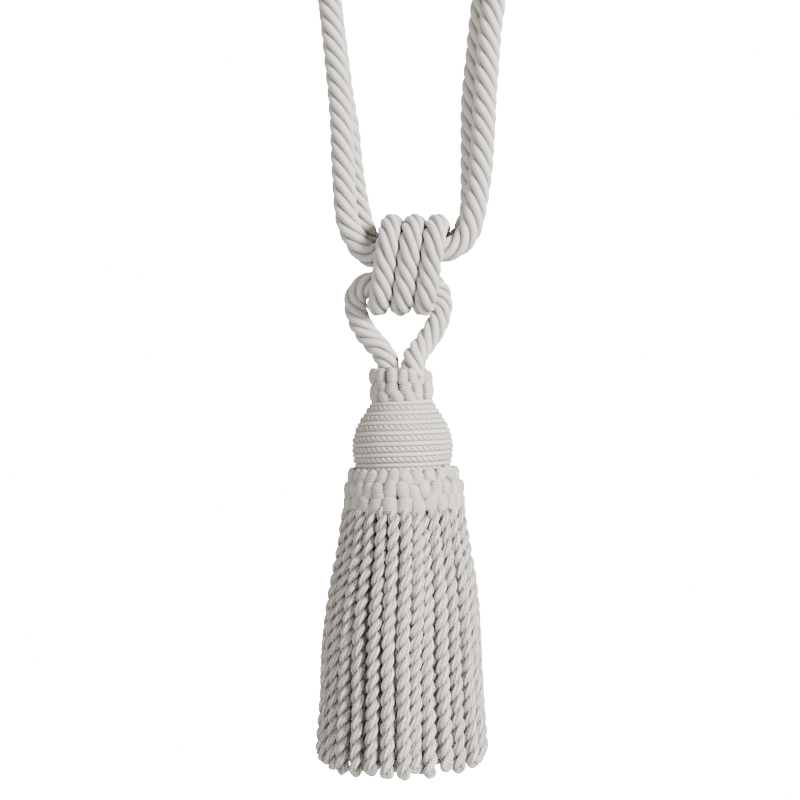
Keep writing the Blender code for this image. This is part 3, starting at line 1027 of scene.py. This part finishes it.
@dataclass
class HeadMould:
    """The turned head, with a twisted and a smooth cord wound side by side down it."""

    twisted_radius: float = 1.27
    # How far the twisted cord's middle lies inside the outline, and the outward share of its plies' offset
    twisted_reach: float = 0.84
    twisted_offset: float = 0.5
    smooth_radius: float = 0.85
    smooth_flatness: float = 0.8
    slope_reach: float = 2.0
    twisted_lay: float = 4.6
    # Each ply of the twisted cord: its share of the cord's radius, and how it is squashed
    ply_share: float = 0.56
    ply_outward: float = 0.84
    ply_sideways: float = 1.18
    ply_tones: Pair = (0.45, 0.6)
    smooth_tone: float = 0.6
    sides: int = 10
    points_per_turn: int = 200
    ring_step: float = 0.38
    axis_shift: float = 0.25
    # The core's top, the height past its bottom and the step between, and its depth under the cords
    core_heights: Triple = (-52.0, -92.0, -2.0)
    core_depth: float = 0.8
    # Painted shade on the core, which shows dark in the valleys between the cords
    core_painted_shade: float = 0.8
    # Columns: height, radius over the cords
    form: Pairs = (
        (-52.0, 11.4), (-55.0, 12.8), (-58.0, 14.7), (-60.8, 16.5), (-63.6, 18.2), (-66.4, 19.3),
        (-70.0, 20.2), (-72.8, 20.45), (-75.6, 20.2), (-78.8, 19.7), (-80.4, 19.3), (-84.0, 18.8),
        (-90.0, 18.8),
    )
    # Heights of each cord on the front, turn by turn
    twisted_heights: tuple[float, ...] = (-53.4, -57.2, -61.0, -64.8, -69.0, -73.2, -77.3, -81.4, -85.5)
    smooth_heights: tuple[float, ...] = (-51.6, -55.2, -59.1, -62.9, -66.9, -71.1, -75.25, -79.35, -83.45)

    def radius_at(self, heights: np.ndarray) -> np.ndarray:
        """The outside radius over the cords at these heights."""
        table = np.array(self.form)[::-1]
        return np.interp(heights, table[:, 0], table[:, 1])

    def slope_at(self, heights: np.ndarray) -> np.ndarray:
        """How fast the outside radius grows towards the bottom at these heights."""
        reach = self.slope_reach
        return (self.radius_at(heights - reach) - self.radius_at(heights + reach)) / (2 * reach)

    def winding(self, heights: tuple[float, ...], radius: float) -> tuple[np.ndarray, np.ndarray]:
        """A cord's middle line down the mould, rising to the right on the front.

        Args:
            heights: where it crosses the front, turn by turn.
            radius: how far its middle lies inside the outline.

        Returns:
            The line, and the way out from the mould at each point.
        """
        turns = np.linspace(0.0, len(heights) - 1.0, self.points_per_turn * (len(heights) - 1))
        level = np.interp(turns, np.arange(len(heights)), heights)
        angle = -FULL_TURN * turns
        slope = self.slope_at(level)
        inward = self.radius_at(level) - radius * np.sqrt(1 + slope**2)
        across = inward * np.sin(angle) + self.axis_shift
        depth = -inward * np.cos(angle)
        fine = np.column_stack([*place(across, depth, level), slope])
        rows = in_steps(fine, self.ring_step * MM)
        line = rows[:, :3]
        middle = np.array([self.axis_shift * MM, 0.0, 0.0])
        outward = unit((line - middle) * np.array([1.0, 1.0, 0.0]))
        outward[:, 2] = rows[:, 3]
        return line, unit(outward)

    def build(self) -> list[Piece]:
        """Winds the cords over the core.

        Returns:
            The twisted cord, the smooth cord and the core.
        """
        twisted = YarnMesh()
        line, outward = self.winding(self.twisted_heights, self.twisted_reach)
        ways = unit(np.gradient(line, axis=0))
        ups = np.cross(ways, outward)
        along = distance_along(line)
        ply = self.twisted_radius * self.ply_share * MM
        section = Section(ply * self.ply_outward, ply * self.ply_sideways, self.sides)
        offset = self.twisted_radius * MM - ply
        for index, tone in enumerate(self.ply_tones):
            turns = index / len(self.ply_tones) + along / (self.twisted_lay * MM)
            around = turned(turns, outward, ups)
            squashed = turned(turns, self.twisted_offset * outward, ups)
            twisted.add_yarn(line + squashed * offset, around, section, tone)
        smooth = YarnMesh()
        thickness = self.smooth_radius * self.smooth_flatness
        line, outward = self.winding(self.smooth_heights, thickness)
        section = Section(thickness * MM, self.smooth_radius * MM, self.sides)
        smooth.add_yarn(line, outward, section, self.smooth_tone)
        heights = np.arange(*self.core_heights)
        core = tuple(zip((self.radius_at(heights) - self.core_depth).tolist(), heights.tolist()))
        pieces = [
            twisted.piece("mould_twisted_cord", MOULD_FINISH),
            smooth.piece("mould_smooth_cord", MOULD_FINISH),
            turned_piece("mould_core", core, MOULD_FINISH, shade=self.core_painted_shade),
        ]
        for item in pieces:
            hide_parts("head_mould")
        return pieces


@dataclass
class BullionCord:
    """One cord of the skirt: a yarn twisted back on itself, so that it ends in a closed loop."""

    # Each pair is for the root and the end
    angles: Pair
    heights: Pair
    set_backs: Pair
    girths: Pair
    end_turn: float
    phase: float
    lay: float
    tone: float
    wander: float


@dataclass
class BullionSkirt:
    """Two rings of bullion cords that flare from under the ruff, and a few more deeper in."""

    root_height: float = -93.5
    lay: float = 10.7
    ply_share: float = 0.535
    ply_width: float = 1.06
    end_facing: float = 0.25
    end_opening: float = 0.06
    end_opening_share: float = 0.4
    swelled_by: float = 0.4
    loose_from: float = 0.33
    wander: float = 0.3
    least_wander: float = 0.4
    sways: float = 1.1
    tones: Pair = (0.1, 0.9)
    girth_spread: float = 0.04
    lay_spread: float = 0.05
    facing_spread: float = 0.09
    line_points: int = 25
    loop_points: int = 12
    sub_yarns: int = 3
    fewest_sides_for_sub_yarns: int = 12
    sub_yarn_depth: float = 0.16
    sub_yarn_lay: float = -10.5
    # Painted shade in the dips between the finer yarns
    sub_yarn_painted_shade: float = 1.25
    inner_set_back: float = 3.9
    seed: int = 7
    # Columns: height, radius to the outer cords' middles, shift to the right
    form: tuple[Triple, ...] = (
        (-93.0, 20.4, 0.9), (-98.0, 22.6, 0.8), (-106.0, 23.8, 0.8), (-114.0, 24.9, 0.8),
        (-122.0, 26.4, 0.7), (-134.0, 28.1, 0.4), (-146.0, 29.3, 0.0), (-158.0, 30.0, -0.1),
        (-174.0, 30.7, 0.0), (-190.0, 31.9, 0.0), (-202.0, 32.3, 0.0),
    )
    # Columns of the front's outer cords: angle from the front at the root and at the end, the
    # end's lowest height, and how far the root and the end stand back
    front: tuple[tuple[float, float, float, float, float], ...] = (
        (-84.0, -84.0, -196.4, 0.0, 0.0), (-70.0, -70.0, -197.6, 0.0, 0.0),
        (-58.5, -58.5, -198.6, 0.0, 0.0), (-46.5, -46.5, -199.3, 0.0, 0.0),
        (-34.4, -34.0, -199.2, 0.0, 0.0), (-21.5, -21.7, -198.3, 0.0, 0.0),
        (-10.0, -10.6, -199.2, 0.0, 0.0), (2.0, 0.8, -199.4, 0.0, 0.0), (12.4, 9.4, -197.6, 0.0, 1.6),
        (21.6, 19.2, -199.0, 2.4, 0.0), (30.4, 32.4, -197.2, 0.0, 0.0), (42.2, 43.6, -198.5, 0.0, 0.0),
        (55.0, 60.0, -198.0, 0.0, 0.0), (68.4, 71.5, -197.2, 0.0, 0.0), (82.0, 83.5, -195.8, 0.0, 0.0),
    )
    # Columns of the front's inner cords: angle from the front, the end's lowest height
    behind: Pairs = (
        (-77.0, -196.4), (-64.0, -197.8), (-52.0, -196.6), (-40.0, -198.0), (-31.6, -197.6),
        (-21.4, -197.0), (-8.6, -197.8), (-2.6, -197.4), (6.4, -196.8), (15.4, -198.2), (28.4, -194.9),
        (38.0, -196.8), (50.0, -197.6), (63.0, -196.8), (76.0, -196.0),
    )
    # Columns of the cords deeper in: angle from the front, the end's lowest height
    heart: Pairs = (
        (-56.0, -197.0), (-30.0, -197.6), (-17.0, -197.4), (12.0, -196.4), (30.0, -195.6),
        (60.0, -196.4), (95.0, -197.0), (130.0, -196.8), (165.0, -197.2), (200.0, -196.6),
        (235.0, -197.0), (270.0, -196.6),
    )
    heart_set_back: float = 9.0
    # Angles of the back's outer cords
    back: tuple[float, ...] = (
        95.0, 105.5, 116.0, 127.5, 140.0, 153.0, 163.5, 174.5, 185.0, 195.6, 207.6, 218.5, 229.5, 240.5,
        252.0, 264.0,
    )
    back_inner: int = 19
    # How far the back's cords may turn, and how low they end, outside and behind
    outer_angle_spread: float = 0.8
    inner_angle_spread: float = 1.0
    outer_ends: Pair = (-199.4, -196.6)
    inner_ends: Pair = (-198.8, -196.0)
    # A cord's radius at the root and lower down
    outer_girths: Pair = (2.3, 2.68)
    inner_girths: Pair = (2.0, 2.5)
    # Columns: radius, height
    heading: Pairs = ((14.0, -93.0), (20.4, -93.0), (21.0, -96.6), (14.0, -97.0))

    def outer_cords(self) -> list[BullionCord]:
        """The ring that shows: the front's cords as they hang, and even ones round the back.

        Returns:
            The front's cords, then the back's.
        """
        chance = random.Random(self.seed)
        girths = self.outer_girths
        cords = []
        for root, end, lowest, *set_backs in self.front:
            cords.append(self.cord((root, end), lowest, tuple(set_backs), girths, chance))
        for angle in self.back:
            root = angle + either_way(chance, self.outer_angle_spread)
            end = angle + either_way(chance, self.outer_angle_spread)
            lowest = chance.uniform(*self.outer_ends)
            cords.append(self.cord((root, end), lowest, (0.0, 0.0), girths, chance))
        return cords

    def inner_cords(self) -> list[BullionCord]:
        """The ring behind, which fills the gaps, and a few cords deeper in.

        Returns:
            The ring's cords, then the deeper ones.
        """
        chance = random.Random(self.seed + 1)
        rows = list(self.behind)
        ends = (self.behind[-1][0], self.behind[0][0] + CIRCLE)
        for index in range(self.back_inner):
            angle = between(ends, (index + 1) / (self.back_inner + 1))
            angle += either_way(chance, self.inner_angle_spread)
            rows.append((angle, chance.uniform(*self.inner_ends)))
        cords = []
        for group, back in ((rows, self.inner_set_back), (self.heart, self.heart_set_back)):
            for angle, lowest in group:
                cords.append(self.cord((angle, angle), lowest, (back, back), self.inner_girths, chance))
        return cords

    def cord(
        self, angles: Pair, lowest: float, set_backs: Pair, girths: Pair, chance: random.Random
    ) -> BullionCord:
        """One cord with its own twist, tone and girth.

        Args:
            angles: degrees from the front at the root and at the end.
            lowest: the height of its lowest point.
            set_backs: how far it stands inside the outer ring at the root and at the end.
            girths: its own radius at the root and lower down.
            chance: where its differences come from.

        Returns:
            The cord's facts.
        """
        end_girth = girths[1] * (1 + either_way(chance, self.girth_spread))
        return BullionCord(
            angles=(math.radians(angles[0]), math.radians(angles[1])),
            heights=(self.root_height, lowest + end_girth),
            set_backs=set_backs,
            girths=(girths[0], end_girth),
            end_turn=self.end_facing + either_way(chance, self.facing_spread),
            phase=chance.uniform(0, FULL_TURN),
            lay=self.lay * (1 + either_way(chance, self.lay_spread)),
            tone=chance.uniform(*self.tones),
            wander=self.wander * chance.uniform(self.least_wander, 1.0),
        )

    def middle_line(self, cord: BullionCord, step: float) -> np.ndarray:
        """The cord's middle from its root to its end.

        Args:
            cord: the cord's facts.
            step: the distance between two points, in millimetres.

        Returns:
            Points in metres, with the share of the length as a fourth column.
        """
        table = np.array(self.form)[::-1]
        rows = []
        for share in np.linspace(0.0, 1.0, self.line_points):
            height = between(cord.heights, share)
            radius = np.interp(height, table[:, 0], table[:, 1]) - between(cord.set_backs, share)
            shift = np.interp(height, table[:, 0], table[:, 2])
            loose = min(1.0, share / self.loose_from)
            sway = math.sin(cord.phase + FULL_TURN * self.sways * share)
            angle = between(cord.angles, share) + cord.wander * loose * sway / radius
            across = shift + radius * math.sin(angle)
            rows.append((*place(across, -radius * math.cos(angle), height), share))
        return smooth_route(rows, step * MM)

    def add_cord(self, yarns: YarnMesh, cord: BullionCord, step: float, sides: int) -> None:
        """Twists one yarn down to the end loop and back up.

        Args:
            yarns: the mesh that it goes in.
            cord: the cord's facts.
            step: the distance between two rings, in millimetres.
            sides: how many sides the ply has.
        """
        rows = self.middle_line(cord, step)
        line, shares = rows[:, :3], rows[:, 3]
        first = (math.sin(cord.angles[0]), -math.cos(cord.angles[0]), 0.0)
        outs, ups = carried_frames(line, first)
        girth = between(cord.girths, np.minimum(1, shares / self.swelled_by)) * MM
        ply = girth * self.ply_share
        left = distance_along(line)[-1] - distance_along(line)
        around = turned(cord.end_turn - left / (cord.lay * MM), outs, ups)
        opening = self.end_opening_share * cord.lay * MM
        opened = 1 + self.end_opening * np.clip(1 - left / opening, 0, 1)
        offset = ((girth - ply) * opened)[:, None]
        down = line + around * offset
        up = line - around * offset
        way = unit(line[-1] - line[-2])
        bends = np.linspace(0, math.pi, self.loop_points)[1:-1, None]
        loop_out = np.cos(bends) * around[-1] + np.sin(bends) * way
        loop = line[-1] + loop_out * offset[-1]
        whole = np.vstack([down, loop, up[::-1]])
        outward = np.vstack([around, loop_out, -around[::-1]])
        size = np.concatenate([ply, np.full(len(loop), ply[-1]), ply[::-1]]) / ply[-1]
        section = Section(
            outward=float(ply[-1]),
            sideways=float(ply[-1]) * self.ply_width,
            sides=sides,
            lobes=self.sub_yarns if sides >= self.fewest_sides_for_sub_yarns else 0,
            lobe_depth=self.sub_yarn_depth,
            lobe_lay=self.sub_yarn_lay * MM,
            lobe_painted_shade=self.sub_yarn_painted_shade,
        )
        yarns.add_yarn(whole, outward, section, cord.tone, size)

    def build(self) -> list[Piece]:
        """Makes the cords and the heading that holds their roots.

        Returns:
            The four pieces.
        """
        outer = self.outer_cords()
        # Columns: the piece, its cords, the step between rings, sides of a ply
        batches = (
            ("bullion_cords_front", outer[: len(self.front)], 0.56, 16),
            ("bullion_cords_back", outer[len(self.front) :], 0.7, 14),
            ("bullion_cords_inner", self.inner_cords(), 1.3, 10),
        )
        pieces = []
        for name, cords, step, sides in batches:
            yarns = YarnMesh()
            for cord in cords:
                self.add_cord(yarns, cord, step, sides)
            pieces.append(yarns.piece(name, BULLION_FINISH))
        pieces.append(turned_piece("bullion_heading", self.heading, BULLION_FINISH))
        for item in pieces:
            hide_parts("bullion_skirt")
        return pieces


@dataclass
class Studio:
    """The camera, the soft lights, the pale floor and the surround."""

    camera_distance: float = 0.72
    aim_across: float = -0.0008
    aim_height: float = -0.320
    view_width: float = 0.320
    sensor: float = 36.0
    nearest: float = 0.01
    # Columns: name, place, length of a side, watts
    lights: tuple[tuple[str, Triple, float, float], ...] = (
        ("key", (1.5, -1.2, 0.4), 0.7, 158.0),
        ("fill", (-1.3, -1.4, 0.2), 1.0, 22.0),
    )
    floor_height: float = -1.6
    floor_radius: float = 2.8
    floor_sides: int = 128
    floor_colour: tuple[float, float, float, float] = (0.9, 0.9, 0.89, 1.0)
    floor_roughness: float = 0.9
    sky_light: float = 0.35
    sky_seen: float = 30.0

    def camera(self) -> None:
        """A level camera at the photograph's distance."""
        data = bpy.data.cameras.new("camera")
        data.sensor_width = self.sensor
        data.lens = self.sensor * self.camera_distance / self.view_width
        data.clip_start = self.nearest
        camera = linked("camera", data)
        camera.location = (self.aim_across, -self.camera_distance, self.aim_height)
        camera.rotation_euler = (math.pi / 2, 0.0, 0.0)
        bpy.context.scene.camera = camera

    def light(self, name: str, where: Triple, size: float, power: float) -> None:
        """One soft square light aimed at the knot.

        Args:
            name: the light's name.
            where: its place.
            size: the length of its side.
            power: its strength in watts.
        """
        data = bpy.data.lights.new(name, "AREA")
        data.size = size
        data.energy = power
        light = linked(name, data)
        light.location = where
        target = np.array([self.aim_across, 0.0, self.aim_height])
        way = target - np.array(where)
        across = math.atan2(way[0], -way[1])
        tilt = math.atan2(-way[2], math.hypot(way[0], way[1]))
        light.rotation_euler = (math.pi / 2 - tilt, 0.0, across + math.pi)

    def floor(self) -> None:
        """A round pale floor well below the tassel."""
        radius, height = self.floor_radius, self.floor_height
        turns = [FULL_TURN * index / self.floor_sides for index in range(self.floor_sides)]
        rim = [(radius * math.cos(turn), radius * math.sin(turn), height) for turn in turns]
        mesh = bpy.data.meshes.new("floor")
        mesh.from_pydata(rim, [], [tuple(range(len(rim)))])
        material = bpy.data.materials.new("pale floor")
        material.use_nodes = True
        shader = material.node_tree.nodes["Principled BSDF"]
        shader.inputs["Base Color"].default_value = self.floor_colour
        shader.inputs["Roughness"].default_value = self.floor_roughness
        mesh.materials.append(material)
        linked("floor", mesh)

    def sky(self) -> None:
        """An even white surround, brighter where the camera sees it."""
        world = bpy.data.worlds.new("white surround")
        bpy.context.scene.world = world
        world.use_nodes = True
        tree = world.node_tree
        seen = tree.nodes.new("ShaderNodeLightPath")
        glow = tree.nodes["Background"]
        strength = tree.nodes.new("ShaderNodeMapRange")
        strength.inputs["To Min"].default_value = self.sky_light
        strength.inputs["To Max"].default_value = self.sky_seen
        glow.inputs["Color"].default_value = (1.0, 1.0, 1.0, 1.0)
        tree.links.new(seen.outputs["Is Camera Ray"], strength.inputs["Value"])
        tree.links.new(strength.outputs[0], glow.inputs["Strength"])

    def build(self) -> None:
        """Sets the camera, the lights, the floor and the surround."""
        self.camera()
        for light in self.lights:
            self.light(*light)
        self.floor()
        self.sky()


def main() -> None:
    """Builds the tieback from the top down."""
    logging.basicConfig(level=logging.INFO, format="%(message)s")
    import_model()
    Studio().build()
    makers = (
        EmbraceRope(),
        KnotCoil(),
        TasselLoop(),
        NECK_RUFF,
        HeadMould(),
        SKIRT_RUFF,
        BullionSkirt(),
    )
    for maker in makers:
        for item in maker.build():
            triangles = sum(len(face.vertices) - 2 for face in item.data.polygons)
            LOG.info("%s: %d triangles", item.name, triangles)


if __name__ == "__main__":
    main()
